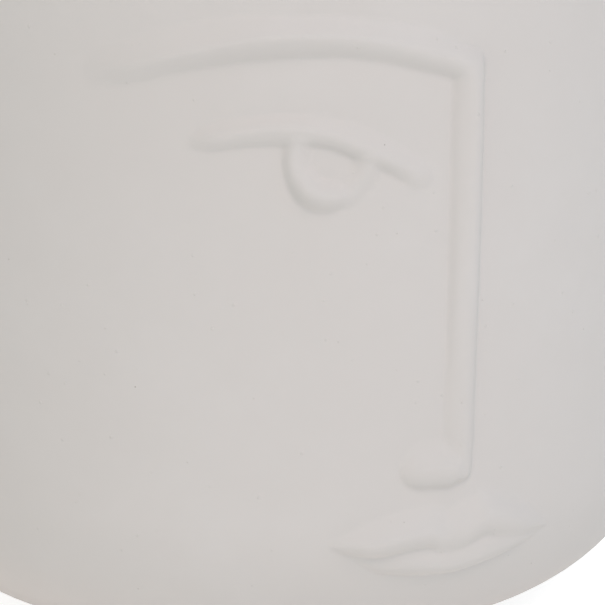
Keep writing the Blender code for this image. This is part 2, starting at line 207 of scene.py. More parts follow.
NOSE_TIP = [
    (33.0, -57.2, 4.8, 4.6, 1.7, 1.30, 1.90, 1.30, 0.68),
    (39.6, -56.0, 6.6, 5.2, 2.4, 1.20, 1.90, 1.30, 0.70),
    (43.8, -56.2, 7.0, 5.2, 2.7, 1.20, 1.90, 1.30, 0.70),
    (47.0, -56.8, 6.5, 4.8, 2.5, 1.20, 1.90, 1.30, 0.70),
    (49.0, -56.8, 5.0, 4.3, 2.0, 1.33, 1.80, 1.20, 0.72),
]

brow_and_nose = BROW + CORNER + NOSE
print(f"brow and nose: {len(brow_and_nose)} rows, nose tip: {len(NOSE_TIP)} rows")

# %% [markdown]
# The eye is a lid with a ring below it. The ring's outer side is steep, and its inner side slopes
# gently in like a dish, so the two sides get widths of their own.

# %% Lid and eye
EYELID = [
    (-16.5, 23.2, 3.4, 2.7, 1.1, 1.30, 1.57, 1.22, 0.74),
    (-7.0, 26.0, 3.4, 3.5, 1.8, 1.35, 1.54, 1.26, 0.75),
    (2.4, 27.6, 3.0, 4.4, 2.1, 1.40, 1.50, 1.30, 0.78),
    (9.5, 27.4, 3.1, 4.6, 2.3, 1.40, 1.65, 1.33, 0.74),
    (14.4, 26.3, 3.6, 3.7, 2.1, 1.25, 1.76, 1.34, 0.76),
    (20.1, 24.2, 4.1, 3.5, 2.1, 1.24, 1.79, 1.31, 0.76),
    (24.6, 21.8, 4.4, 3.5, 2.2, 1.29, 1.77, 1.27, 0.78),
    (29.5, 19.2, 4.2, 3.1, 1.9, 1.33, 1.76, 1.22, 0.82),
    (34.5, 16.2, 3.8, 3.3, 1.4, 1.40, 1.63, 1.18, 0.88),
    (40.3, 12.3, 3.3, 4.0, 0.6, 1.51, 1.52, 1.14, 0.90),
]
EYE = [
    (8.3, 25.7, 4.2, 2.6, 1.6, 1.77, 1.69, 1.45, 0.85),
    (7.5, 18.4, 4.1, 2.4, 1.7, 1.73, 1.67, 1.45, 0.82),
    (8.2, 16.3, 4.1, 2.7, 1.9, 1.74, 1.66, 1.35, 0.82),
    (9.0, 15.1, 4.1, 3.1, 2.3, 1.74, 1.65, 1.25, 0.84),
    (10.3, 13.3, 4.1, 3.5, 2.7, 1.76, 1.68, 1.20, 0.88),
    (12.0, 12.1, 4.1, 3.9, 2.8, 1.78, 1.65, 1.20, 0.92),
    (13.9, 11.4, 4.1, 4.2, 2.7, 1.80, 1.63, 1.25, 0.96),
    (16.1, 11.1, 4.0, 4.0, 2.3, 1.81, 1.60, 1.30, 1.00),
    (18.4, 11.1, 3.9, 3.7, 1.7, 1.81, 1.54, 1.40, 1.15),
    (19.4, 11.1, 3.9, 3.5, 1.3, 1.81, 1.50, 1.45, 1.25),
    (21.3, 12.7, 3.6, 3.5, 1.0, 1.82, 1.50, 1.50, 1.40),
    (22.8, 14.4, 3.5, 3.7, 1.0, 1.87, 1.50, 1.50, 1.50),
    (24.0, 16.3, 3.6, 3.8, 1.2, 1.94, 1.55, 1.50, 1.45),
    (24.6, 18.2, 3.9, 3.7, 1.4, 1.97, 1.64, 1.50, 1.35),
    (24.5, 20.8, 4.2, 3.2, 1.5, 1.95, 1.76, 1.50, 1.15),
]

print(f"eyelid: {len(EYELID)} rows, eye: {len(EYE)} rows")

# %% [markdown]
# The lips are fuller and change width quickly at the bow in their middle. Their sections stand
# upright instead of square to the crest, which keeps neighbouring sections from crossing.

# %% Lips
UPPER_LIP = [
    (16.3, -73.5, 1.5, 0.8, 0.1, 1.61, 1.80, 1.30, 0.92),
    (21.4, -73.2, 3.5, 2.9, 1.8, 1.40, 1.82, 1.39, 0.85),
    (26.7, -72.8, 5.2, 4.5, 3.0, 1.25, 1.89, 1.40, 0.78),
    (33.7, -71.6, 5.9, 5.0, 3.1, 1.15, 1.91, 1.40, 0.74),
    (41.4, -71.6, 6.5, 5.0, 2.5, 1.30, 1.94, 1.40, 0.74),
    (44.7, -73.2, 7.0, 5.1, 2.0, 1.60, 1.94, 1.35, 0.74),
    (49.9, -72.1, 7.1, 5.5, 2.5, 1.60, 1.92, 1.35, 0.72),
    (54.9, -70.1, 6.8, 5.4, 2.8, 1.70, 1.92, 1.40, 0.72),
    (61.5, -71.7, 6.1, 4.9, 2.5, 1.80, 1.95, 1.42, 0.72),
    (67.8, -74.0, 5.0, 3.5, 1.7, 1.80, 1.98, 1.40, 0.73),
    (72.1, -75.3, 3.1, 1.9, 0.8, 1.90, 1.96, 1.30, 0.79),
    (76.0, -76.7, 0.8, 0.5, 0.2, 1.94, 1.94, 1.15, 0.85),
]
LOWER_LIP = [
    (22.1, -76.7, 1.0, 0.5, 0.2, 1.95, 1.95, 0.90, 0.92),
    (28.1, -79.2, 3.2, 2.2, 0.9, 1.89, 1.95, 0.88, 0.75),
    (34.7, -79.5, 5.0, 3.4, 1.7, 1.78, 1.95, 0.89, 0.68),
    (40.4, -80.2, 5.6, 3.5, 2.0, 1.60, 1.90, 0.95, 0.66),
    (46.3, -81.0, 5.8, 3.1, 2.0, 1.49, 1.90, 0.94, 0.66),
    (49.9, -80.9, 6.5, 3.2, 2.0, 1.52, 1.90, 0.82, 0.66),
    (54.3, -79.9, 6.7, 3.5, 2.0, 1.64, 1.90, 0.75, 0.66),
    (60.1, -78.8, 6.0, 3.5, 1.8, 1.77, 1.90, 0.75, 0.68),
    (64.3, -78.5, 4.6, 2.7, 1.5, 1.87, 1.90, 0.77, 0.70),
    (68.4, -78.4, 2.7, 1.6, 0.9, 1.94, 1.94, 0.84, 0.75),
    (73.0, -77.5, 0.7, 0.9, 0.2, 1.96, 1.96, 0.92, 0.89),
]
print(f"lips: {len(UPPER_LIP)} and {len(LOWER_LIP)} rows")

# %% [markdown]
# ## Reading a line as a height
#
# For the fine mesh the face is wanted as a height: how far does the wall stand out at this point?
# For each point we look for the nearest place on a line's crest, see how far to the side of it
# the point lies, and read the height off the section there. Near a line's ends the section gets
# narrower on a round outline, and it sinks into the wall.

# %% Heights along one line
LINE_SAMPLE = 0.25 * MM
POINTS_AT_ONCE = 4000


def smooth_rows(rows, places):
    """Read rows at any places along their line, on a smooth curve through all of them."""
    knots = np.concatenate([[0], np.cumsum(np.hypot(*np.diff(rows[:, :2], axis=0).T))])
    slopes = np.gradient(rows, knots, axis=0)
    first = np.clip(np.searchsorted(knots, places, side="right") - 1, 0, len(knots) - 2)
    span = (knots[first + 1] - knots[first])[:, None]
    t = (places - knots[first])[:, None] / span
    return ((2 * t**3 - 3 * t**2 + 1) * rows[first] + (t**3 - 2 * t**2 + t) * span * slopes[first]
            + (3 * t**2 - 2 * t**3) * rows[first + 1] + (t**3 - t**2) * span * slopes[first + 1])


def sampled(rows):
    """The line as many close samples, with the place and the direction of each."""
    rows = np.array(rows) * ([MM] * 5 + [1] * 4)
    length = np.hypot(*np.diff(rows[:, :2], axis=0).T).sum()
    places = np.linspace(0, length, ceil(length / LINE_SAMPLE) + 1)
    table = smooth_rows(rows, places)
    runs = np.gradient(table[:, :2], places, axis=0)
    return places, table, runs / np.hypot(*runs.T)[:, None]


def nearest_sample(points, crest):
    """Which sample of the crest lies nearest to each point."""
    parts = np.array_split(points, len(points) // POINTS_AT_ONCE + 1)
    return np.concatenate([((part[:, None] - crest) ** 2).sum(axis=2).argmin(axis=1)
                           for part in parts if len(part)] or [np.zeros(0, int)])


def end_shape(place, length, ends):
    """How wide and how high a line still is near its two ends, as shares of its full size."""
    wide, high = 1.0, 1.0
    for distance, (reach, softness) in ((place, ends[0]), (length - place, ends[1])):
        share = np.clip(1 - distance / (reach * MM), 0, 1)
        wide = wide * np.sqrt(1 - share**2)
        high = high * (1 - share**2) ** softness
    return wide, high


def line_height(across, up, rows, ends, upright=False):
    """Height of one line at points of the unrolled wall."""
    places, table, runs = sampled(rows)
    reach = table[:, 2:4].max()
    low, high = table[:, :2].min(axis=0) - reach, table[:, :2].max(axis=0) + reach
    near = (across > low[0]) & (across < high[0]) & (up > low[1]) & (up < high[1])
    if upright:
        place = np.interp(across[near], table[:, 0], places)
        aside = up[near] - np.interp(across[near], table[:, 0], table[:, 1])
    else:
        points = np.stack([across[near], up[near]], axis=1)
        nearest = nearest_sample(points, table[:, :2])
        away, run = points - table[nearest, :2], runs[nearest]
        place = places[nearest] + (away * run).sum(axis=1)
        aside = away[:, 1] * run[:, 0] - away[:, 0] * run[:, 1]
    left, right, crest, left_round, right_round, left_soft, right_soft = (
        np.interp(place, places, table[:, k]) for k in range(2, 9))
    wide, high = end_shape(place, places[-1], ends)
    width = np.where(aside > 0, left, right) * np.maximum(wide, 0.001)
    share = np.clip(np.abs(aside) / width, 0, 1)
    roundness = np.where(aside > 0, left_round, right_round)
    softness = np.where(aside > 0, left_soft, right_soft)
    height = np.zeros_like(across)
    height[near] = crest * high * (1 - share**roundness) ** softness
    return height


print(f"a line is sampled every {LINE_SAMPLE / MM} mm")

# %% [markdown]
# ## The whole face
#
# Where two lines meet, taking the higher of the two would leave a sharp valley. A power sum
# behaves like the higher one where they lie apart, and fills the valley where they touch, as
# glaze does. Each end of a line is given by how long it tapers, in millimetres, and by how softly
# it sinks into the wall.

# %% Join the lines
MEET_POWER = 3.0
BROW_ENDS = ((5.4, 0.49), (3.0, 0.50))
NOSE_TIP_ENDS = ((5.5, 0.80), (3.0, 0.60))
EYELID_ENDS = ((7.2, 1.15), (4.6, 1.10))
EYE_ENDS = ((0.6, 0.41), (0.6, 0.48))
UPPER_LIP_ENDS = ((0.6, 0.42), (0.6, 0.48))
LOWER_LIP_ENDS = ((1.2, 0.51), (0.6, 0.47))


def face_height(across, up):
    """Height of the whole face at points of the unrolled wall."""
    lines = [
        line_height(across, up, brow_and_nose, BROW_ENDS),
        line_height(across, up, NOSE_TIP, NOSE_TIP_ENDS),
        line_height(across, up, EYELID, EYELID_ENDS),
        line_height(across, up, EYE, EYE_ENDS),
        line_height(across, up, UPPER_LIP, UPPER_LIP_ENDS, upright=True),
        line_height(across, up, LOWER_LIP, LOWER_LIP_ENDS, upright=True),
    ]
    total = sum((line / MM) ** MEET_POWER for line in lines)
    return MM * total ** (1 / MEET_POWER)


probe = face_height(np.array([0.0, 49.0, 45.0]) * MM, np.array([47.9, 0.0, -56.2]) * MM)
print("brow, nose and nose tip stand out by", np.round(probe / MM, 2), "mm")

# %% [markdown]
# ## A grid that is fine where the face is
#
# The casting is one closed surface: a profile swept once round the axis. A mesh fine enough for
# the lips would be far too heavy all round, so the spacing of its rows and columns changes. It
# is half a millimetre where the eye, the brow and the lips are, wider where only the straight
# nose passes, and several millimetres at the back and inside.

# %% Rows and columns
COLUMN_BANDS = ((-60.0, -42.0, 1.5), (-42.0, -16.0, 1.0), (-16.0, 57.0, 0.52), (57.0, 79.0, 0.8),
                (79.0, 97.0, 1.5))
ROW_BANDS = ((-88.0, -46.0, 0.5), (-46.0, 3.0, 2.5), (3.0, 54.0, 0.5))
BACK_STEP = 5.4
BOTTOM_STEP = 3.2
RIM_STEP = 4.0


def stretch(start, end, step):
    """Evenly spaced values from start up to, but not including, end."""
    count = max(1, round(abs(end - start) / step))
    return np.linspace(start, end, count, endpoint=False)


def column_places():
    """Places across, in metres, once round the wall and starting left of the face."""
    once_round = 2 * pi * wrap_radius / MM
    bands = COLUMN_BANDS + ((COLUMN_BANDS[-1][1], COLUMN_BANDS[0][0] + once_round, BACK_STEP),)
    return np.concatenate([stretch(*band) for band in bands]) * MM


def row_places():
    """Places up the wall, in metres, from under the bottom to the rim."""
    bottom = (turn_up - BOTTOM_ROUND * (pi / 2 - WALL_DRAFT)) / MM
    top = (RIM_TOP - WALL_THICKNESS / 2 - face_middle_z) / cos(WALL_DRAFT) / MM
    bands = ((bottom, ROW_BANDS[0][0], BOTTOM_STEP), *ROW_BANDS, (ROW_BANDS[-1][1], top, RIM_STEP))
    return np.concatenate([stretch(*band) for band in bands]) * MM


columns = column_places()
rises = row_places()
print(f"{len(columns)} columns, {len(rises)} rows on the wall")

# %% [markdown]
# The rest of the profile is plain: a full-round rim, the inside wall, a rounded corner, the
# floor with the net's shallow seat, the drain hole, and the recess and foot ring below. Round
# stretches are arcs with a step that suits their radius.

# %% Rest of the profile
FLOOR_RINGS = (48.0 * MM, 36.0 * MM, 28.0 * MM)
SEAT_RING = 17.0 * MM
RECESS_RING = 25.0 * MM
SEAT_ROUND = 0.4 * MM


def arc(centre_r, centre_z, radius, start, end, steps):
    """Points of radius and height along an arc, from one angle in degrees to another."""
    swing = np.radians(np.linspace(start, end, steps + 1))
    return [(centre_r + radius * cos(a), centre_z + radius * sin(a)) for a in swing]


def rest_of_profile():
    """From the rim over the inside, the floor, the drain and the recess to the foot ring."""
    draft = WALL_DRAFT * 180 / pi
    lip = WALL_THICKNESS / 2
    rim_z = RIM_TOP - lip
    rim_centre = outer_radius(rim_z) - lip / cos(WALL_DRAFT)
    rim = arc(rim_centre, rim_z, lip, -draft, 180 - draft, 14)

    inside_z = floor_z + INSIDE_ROUND
    inside_wall = outer_radius(inside_z) - WALL_THICKNESS / cos(WALL_DRAFT)
    inside_centre = inside_wall - INSIDE_ROUND / cos(WALL_DRAFT)
    inside = arc(inside_centre, inside_z, INSIDE_ROUND, -draft, -90, 12)
    middle_wall = [tuple((np.array(rim[-1]) * (1 - t) + np.array(inside[0]) * t))
                   for t in (0.25, 0.5, 0.75)]

    hole, edge, seat = DRAIN_HOLE_RADIUS, DRAIN_HOLE_EDGE, NET_SEAT_RADIUS
    floor = [(radius, floor_z) for radius in FLOOR_RINGS]
    floor += arc(seat + 2 * SEAT_ROUND, floor_z - SEAT_ROUND, SEAT_ROUND, 90, 180, 3)
    floor += [(seat, net_seat_z + 0.1 * MM), (seat - 0.2 * MM, net_seat_z), (SEAT_RING, net_seat_z)]
    drain = arc(hole + edge, net_seat_z - edge, edge, 90, 180, 4)
    drain += [(hole, recess_z + edge / 2)]
    drain += arc(hole + edge / 2, recess_z + edge / 2, edge / 2, 180, 270, 2)

    ring_out, round_off = FOOT_RING_RADIUS, FOOT_RING_EDGE
    ring_in = ring_out - FOOT_RING_WIDTH
    recess = [(RECESS_RING, recess_z), (ring_in - 2.0 * MM, recess_z)]
    recess += arc(ring_in - round_off, recess_z - round_off, round_off, 90, 0, 3)
    ring = arc(ring_in + round_off, RING_BOTTOM + round_off, round_off, 180, 270, 4)
    ring += [((ring_in + ring_out) / 2, RING_BOTTOM)]
    ring += arc(ring_out - round_off, RING_BOTTOM + round_off, round_off, -90, 0, 4)
    ring += [(ring_out, belly_z - 0.4 * MM)]
    return rim + middle_wall + inside + floor + drain + recess + ring


plain_profile = np.array(rest_of_profile())
print(f"{len(plain_profile)} plain rows")

# %% [markdown]
# Now the surface. Every row is swept round the axis, and the rows of the wall are pushed out
# along the wall's own direction by the height of the face. A light blur over the grid rounds
# the creases by about the thickness of the glaze. The grid is uneven, so each value is averaged
# with its neighbours by their distance in millimetres.

# %% Mesh of the casting
GLAZE_ROUNDING = 0.3 * MM
SHARP_ANGLE = radians(50)


def neighbour_weights(places, spread):
    """Each row holds the weights that average values at uneven places over a small distance."""
    weights = np.exp(-0.5 * ((places[:, None] - places) / spread) ** 2) * np.gradient(places)
    return weights / weights.sum(axis=1, keepdims=True)


def swept_points():
    """All points of the casting, row by row, with the face on the wall."""
    radius, z, slope = wall_profile(rises)
    angles = columns / wrap_radius
    across = np.where(angles > pi, angles - 2 * pi, angles) * wrap_radius
    grid_across, grid_up = np.meshgrid(across, rises)
    height = face_height(grid_across.ravel(), grid_up.ravel()).reshape(grid_up.shape)
    along_rows = neighbour_weights(columns, GLAZE_ROUNDING)
    height = neighbour_weights(rises, GLAZE_ROUNDING) @ height @ along_rows.T
    wall_r = radius[:, None] + height * np.cos(slope)[:, None]
    wall_z = z[:, None] + height * np.sin(slope)[:, None]
    plain_r = np.repeat(plain_profile[:, :1], len(angles), axis=1)
    plain_z = np.repeat(plain_profile[:, 1:], len(angles), axis=1)
    all_r, all_z = np.vstack([wall_r, plain_r]), np.vstack([wall_z, plain_z])
    points = np.stack([all_r * np.sin(angles), -all_r * np.cos(angles), all_z], axis=2)
    print(f"the face stands out by up to {height.max() / MM:.2f} mm")
    return points


def closed_grid_faces(rows, columns):
    """Quads between neighbouring rows and columns, closed both ways, facing out."""
    row, column = np.meshgrid(np.arange(rows), np.arange(columns), indexing="ij")
    next_row, next_column = (row + 1) % rows, (column + 1) % columns
    corners = [row * columns + column, row * columns + next_column,
               next_row * columns + next_column, next_row * columns + column]
    return np.stack(corners, axis=2).reshape(-1, 4)


def make_pot():
    points = swept_points()
    mesh = bpy.data.meshes.new("planter_body")
    faces = closed_grid_faces(*points.shape[:2])
    mesh.from_pydata(points.reshape(-1, 3).tolist(), [], faces.tolist())
    mesh.shade_smooth()
    mesh.set_sharp_from_angle(angle=SHARP_ANGLE)
    pot = bpy.data.objects.new("planter_body", mesh)
    bpy.context.scene.collection.objects.link(pot)
    return pot


pot = make_pot()
print(f"planter_body has {len(pot.data.polygons)} faces")

# %% [markdown]
# ## The glaze
#
# The glaze is matte and off-white, and up close it isn't even: there is a faint cloudiness a few
# millimetres wide, a very fine tooth that takes the shine off, and here and there a speck of grit
# under the glaze or a pinhole, where a bubble of gas broke through in the kiln. Both come from
# Voronoi textures: only the cells whose centre happens to lie in the surface show, as tiny dots.
# Every pinhole is also coloured darker: most a little, and about one in five more strongly.

# %% Helpers for materials
def new_material(name):
    material = bpy.data.materials.new(name)
    material.use_nodes = True
    return material, material.node_tree.nodes, material.node_tree.links


def object_space(nodes, links, kind, **settings):
    """Add a texture node that is read in the object's own metres."""
    where = nodes.new("ShaderNodeTexCoord")
    texture = nodes.new(kind)
    for name, value in settings.items():
        texture.inputs[name].default_value = value
    links.new(where.outputs["Object"], texture.inputs["Vector"])
    return texture


def ranged(nodes, links, source, low, high, to_low, to_high, smooth=False):
    """Map a stretch of values to another, held at both ends."""
    node = nodes.new("ShaderNodeMapRange")
    if smooth:
        node.interpolation_type = "SMOOTHSTEP"
    limits = {"From Min": low, "From Max": high, "To Min": to_low, "To Max": to_high}
    for name, value in limits.items():
        node.inputs[name].default_value = value
    links.new(source, node.inputs["Value"])
    return node.outputs["Result"]


def mixed_colour(nodes, links, share, first, second, blend="MIX"):
    node = nodes.new("ShaderNodeMix")
    node.data_type = "RGBA"
    node.blend_type = blend
    links.new(share, node.inputs["Factor"])
    for socket, colour in ((node.inputs[6], first), (node.inputs[7], second)):
        if isinstance(colour, tuple):
            socket.default_value = (*colour, 1.0)
        else:
            links.new(colour, socket)
    return node.outputs[2]


def combined(nodes, links, operation, first, second):
    """The result of a sum on two values, such as ADD or MULTIPLY."""
    node = nodes.new("ShaderNodeMath")
    node.operation = operation
    links.new(first, node.inputs[0])
    links.new(second, node.inputs[1])
    return node.outputs[0]


def bumped(nodes, links, height, distance, strength, under=None):
    node = nodes.new("ShaderNodeBump")
    node.inputs["Distance"].default_value = distance
    node.inputs["Strength"].default_value = strength
    links.new(height, node.inputs["Height"])
    if under is not None:
        links.new(under, node.inputs["Normal"])
    return node.outputs["Normal"]


print("material helpers ready")

# %% Matte glaze
GLAZE = (0.620, 0.596, 0.577)
GLAZE_WARM = (0.609, 0.582, 0.560)
GLAZE_THIN = (0.631, 0.608, 0.590)
PINHOLE = (0.20, 0.17, 0.15)
PINHOLE_CELLS = 140.0
PINHOLE_SIZES = (0.014, 0.030)
GRIT_CELLS = 170.0
GRIT_SIZES = (0.02, 0.08)
GLAZE_ROUGHNESS = (0.64, 0.80)
GLAZE_SHINE = 0.12


def matte_glaze():
    material, nodes, links = new_material("matte_glaze")
    shader = nodes["Principled BSDF"]
    clouds = object_space(nodes, links, "ShaderNodeTexNoise", Scale=70.0, Detail=3.0, Roughness=0.6)
    wide = object_space(nodes, links, "ShaderNodeTexNoise", Scale=14.0, Detail=2.0)
    tooth = object_space(nodes, links, "ShaderNodeTexNoise", Scale=1500.0, Detail=3.0,
                         Roughness=0.7)

    cloud_share = ranged(nodes, links, clouds.outputs["Fac"], 0.35, 0.65, 0.0, 1.0)
    wide_share = ranged(nodes, links, wide.outputs["Fac"], 0.35, 0.7, 0.0, 0.6)
    tone = mixed_colour(nodes, links, cloud_share, GLAZE, GLAZE_THIN)
    tone = mixed_colour(nodes, links, wide_share, tone, GLAZE_WARM)

    holes = object_space(nodes, links, "ShaderNodeTexVoronoi", Scale=PINHOLE_CELLS)
    # Pinholes: each pit is coloured darker towards PINHOLE, a little in most and more strongly in
    # about one in five.
    pit = ranged(nodes, links, holes.outputs["Distance"], *PINHOLE_SIZES, 1.0, 0.0, smooth=True)
    chance = nodes.new("ShaderNodeSeparateColor")
    links.new(holes.outputs["Color"], chance.inputs["Color"])
    darker_share = ranged(nodes, links, chance.outputs["Red"], 0.8, 1.0, 0.2, 0.8)
    pit_darkening = combined(nodes, links, "MULTIPLY", pit, darker_share)
    links.new(mixed_colour(nodes, links, pit_darkening, tone, PINHOLE), shader.inputs["Base Color"])

    roughness = ranged(nodes, links, clouds.outputs["Fac"], 0.3, 0.7, *GLAZE_ROUGHNESS)
    links.new(roughness, shader.inputs["Roughness"])
    normal = bumped(nodes, links, tooth.outputs["Fac"], 0.04 * MM, 0.1)
    grit = object_space(nodes, links, "ShaderNodeTexVoronoi", Scale=GRIT_CELLS)
    speck = ranged(nodes, links, grit.outputs["Distance"], *GRIT_SIZES, 1.0, 0.0, smooth=True)
    normal = bumped(nodes, links, speck, 0.09 * MM, 1.0, under=normal)
    pit_depth = ranged(nodes, links, pit, 0.0, 1.0, 1.0, 0.0)
    links.new(bumped(nodes, links, pit_depth, 0.1 * MM, 0.6, under=normal), shader.inputs["Normal"])
    shader.inputs["Specular IOR Level"].default_value = GLAZE_SHINE
    return material


pot.data.materials.append(matte_glaze())
print("glaze on", pot.name)

# %% [markdown]
# A pot stands on its foot ring in the kiln, so the ring is wiped clean before firing, or it would
# fuse to the shelf. There the bare clay shows, a little darker, warmer and rougher.

# %% Bare clay foot
CLAY = (0.52, 0.44, 0.36)
CLAY_DARK = (0.42, 0.34, 0.27)


def bare_clay():
    material, nodes, links = new_material("bare_clay")
    shader = nodes["Principled BSDF"]
    grain = object_space(nodes, links, "ShaderNodeTexNoise", Scale=900.0, Detail=5.0, Roughness=0.7)
    share = ranged(nodes, links, grain.outputs["Fac"], 0.35, 0.7, 0.0, 1.0)
    links.new(mixed_colour(nodes, links, share, CLAY, CLAY_DARK), shader.inputs["Base Color"])
    links.new(bumped(nodes, links, grain.outputs["Fac"], 0.1 * MM, 0.5), shader.inputs["Normal"])
    shader.inputs["Roughness"].default_value = 0.9
    return material


pot.data.materials.append(bare_clay())
wiped_below = RING_BOTTOM + 0.8 * FOOT_RING_EDGE
wiped = 0
for face in pot.data.polygons:
    if face.center.z < wiped_below:
        face.material_index = 1
        wiped += 1
print(f"{wiped} faces of bare clay under the foot ring")

# %% Place the casting
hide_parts("pot")
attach(pot, "pot")
print("planter_body stands for the pot")

# %% [markdown]
# ## The small pieces
#
# Four small pieces go with the pot, and nobody sees them in use: a rubber plug that closes the
# drain hole from below, a plastic net that keeps the soil in, and felt pads under the foot ring.
# They are built from turned bodies and round bars, so two helpers come first. A moulded piece has
# no hard creases where its bodies meet. So the joined bodies are remeshed as one skin on a fine
# grid and smoothed a little, which gives every inner corner a small fillet.

# %% Helpers for turned and moulded pieces
def add_turned(bm, profile, steps, closed=False):
    """Sweep a profile of radius and height once round the axis, and return its corners."""
    rings = []
    for radius, z in profile:
        if radius == 0:
            rings.append([bm.verts.new((0, 0, z))] * steps)
        else:
            rings.append([bm.verts.new((radius * cos(a), radius * sin(a), z))
                          for a in np.linspace(0, 2 * pi, steps, endpoint=False)])
    pairs = list(zip(rings, rings[1:])) + ([(rings[-1], rings[0])] if closed else [])
    for low, high in pairs:
        for k in range(steps):
            corners = [low[k], low[(k + 1) % steps], high[(k + 1) % steps], high[k]]
            bm.faces.new(list(dict.fromkeys(corners)))
    return [corner for ring in rings for corner in dict.fromkeys(ring)]


def add_bar(bm, middle, length, radius, along):
    """Add a round bar with rounded ends, along x or y."""
    half = length / 2 - radius
    profile = arc(0.0, -half, radius, -90, 0, 3) + arc(0.0, half, radius, 0, 90, 3)
    profile = [(0.0 if abs(r) < 1e-9 else r, z) for r, z in profile]
    turn = Matrix.Rotation(pi / 2, 4, "Y" if along == "x" else "X")
    corners = add_turned(bm, profile, 12)
    bmesh.ops.transform(bm, matrix=Matrix.Translation(middle) @ turn, verts=corners)


def piece_from(bm, name):
    bmesh.ops.recalc_face_normals(bm, faces=bm.faces)
    mesh = bpy.data.meshes.new(name)
    bm.to_mesh(mesh)
    bm.free()
    piece = bpy.data.objects.new(name, mesh)
    bpy.context.scene.collection.objects.link(piece)
    mesh.shade_smooth()
    return piece


def moulded(piece, grid, passes):
    """Rebuild a piece as one skin on a fine grid, and smooth it."""
    remesh = piece.modifiers.new("one skin", "REMESH")
    remesh.mode = "VOXEL"
    remesh.voxel_size = grid
    soften = piece.modifiers.new("soften", "SMOOTH")
    soften.iterations = passes
    shaped = piece.evaluated_get(bpy.context.evaluated_depsgraph_get())
    skin = bpy.data.meshes.new_from_object(shaped)
    piece.modifiers.clear()
    piece.data = skin
    skin.shade_smooth()
    return piece


print("helpers for small pieces ready")

# %% [markdown]
# ## The rubber plug
#
# A stopper like this is one piece of soft black rubber: a flange that lies against the underside,
# a shank with three soft ribs that grip the hole, and a tongue to pull it out by. A low bead on
# the flange seals it. The tongue is thin, so it has three small ridges for wet fingers.

# %% Rubber plug
PLUG_GRID = 0.25 * MM
FLANGE_THICKNESS = 2.2 * MM
FLANGE_LOWER_ROUND = 0.6 * MM
FLANGE_UPPER_ROUND = 0.8 * MM
LOWER_BEAD = 12.6 * MM
LOWER_BEAD_RADIUS = 0.35 * MM
SEAL_BEAD = 11.6 * MM
SEAL_BEAD_RADIUS = 0.25 * MM
SHANK_ROOT = 9.7 * MM
SHANK_TOP = 9.2 * MM
SHANK_ROUND = 0.6 * MM
HOLLOW_END = ((6.5 * MM, 0.15 * MM), (4.5 * MM, 0.8 * MM), (0.0, 0.95 * MM))
RIB_COUNT = 3
RIB_DEPTH = 0.45 * MM
TONGUE_HALF = 7.5 * MM
TONGUE_CORNER = 3.45 * MM
TONGUE_THICKNESS = 2.6 * MM
TONGUE_ROUNDED = 0.7
RIDGES = ((1.3 * MM, 8.0 * MM), (2.4 * MM, 10.4 * MM), (3.5 * MM, 11.0 * MM))
RIDGE_RADIUS = 0.45 * MM
RIDGE_SUNK = 0.2 * MM


def plug_profile():
    """From the middle of the underside, out round the flange and up the ribbed shank."""
    flange = plug_high.x
    top = recess_z - CLEARANCE
    bottom = top - FLANGE_THICKNESS
    lower, upper = FLANGE_LOWER_ROUND, FLANGE_UPPER_ROUND
    profile = [(0.0, bottom), (LOWER_BEAD - 2 * LOWER_BEAD_RADIUS, bottom)]
    profile += arc(LOWER_BEAD, bottom, LOWER_BEAD_RADIUS, 180, 360, 6)
    profile += [(LOWER_BEAD + 0.8 * MM, bottom)]
    profile += arc(flange - lower, bottom + lower, lower, -90, 0, 5)
    profile += arc(flange - upper, top - upper, upper, 0, 90, 5)
    profile += arc(SEAL_BEAD, top, SEAL_BEAD_RADIUS, 0, 180, 6) + [(SEAL_BEAD - MM, top)]
    shank_low, shank_high = top + 0.5 * MM, plug_high.z - 0.7 * MM
    for t in np.linspace(0, 1, 40):
        radius = SHANK_ROOT + (SHANK_TOP - SHANK_ROOT) * t
        profile.append((radius - RIB_DEPTH * abs(cos(pi * RIB_COUNT * t)) ** 3,
                        shank_low + (shank_high - shank_low) * t))
    profile += arc(SHANK_TOP - 1.1 * MM, plug_high.z - SHANK_ROUND, SHANK_ROUND, 0, 90, 5)
    profile += [(radius, plug_high.z - depth) for radius, depth in HOLLOW_END]
    return profile


def add_tongue(bm, root_z):
    """A slab with two rounded lower corners; its faces are rounded off towards their outline."""
    loops = []
    edge = TONGUE_THICKNESS / 2 * TONGUE_ROUNDED
    for inset, y in arc(0.0, 0.0, 1.0, -90, 90, 8):
        away = edge * (1 - inset)
        depth = (TONGUE_THICKNESS / 2 - edge) * np.sign(y) + edge * y
        corner, half, low = TONGUE_CORNER - away, TONGUE_HALF - away, plug_low.z + away
        outline = [(-half, root_z)] + arc(-half + corner, low + corner, corner, 180, 270, 6)
        outline += arc(half - corner, low + corner, corner, 270, 360, 6) + [(half, root_z)]
        loops.append([bm.verts.new((x, depth, z)) for x, z in outline])
    for near, far in zip(loops, loops[1:]):
        for k in range(len(near)):
            bm.faces.new([near[k - 1], near[k], far[k], far[k - 1]])
    bm.faces.new(loops[0])
    bm.faces.new(loops[-1])


def make_plug():
    bm = bmesh.new()
    add_turned(bm, plug_profile(), 96)
    root_z = recess_z - CLEARANCE - FLANGE_THICKNESS / 2
    add_tongue(bm, root_z)
    for height, length in RIDGES:
        for side in (-1, 1):
            middle = (0.0, side * (TONGUE_THICKNESS / 2 - RIDGE_SUNK), plug_low.z + height)
            add_bar(bm, middle, length, RIDGE_RADIUS, "x")
    return moulded(piece_from(bm, "rubber_plug"), PLUG_GRID, 4)


plug = make_plug()
print(f"rubber_plug has {len(plug.data.polygons)} faces")

# %% [markdown]
# Black rubber isn't black. It takes up a greyish bloom and dust, it is matte, and its surface
# shows the fine blasted finish of the mould.

# %% Rubber
RUBBER = (0.040, 0.040, 0.042)
RUBBER_BLOOM = (0.095, 0.092, 0.088)


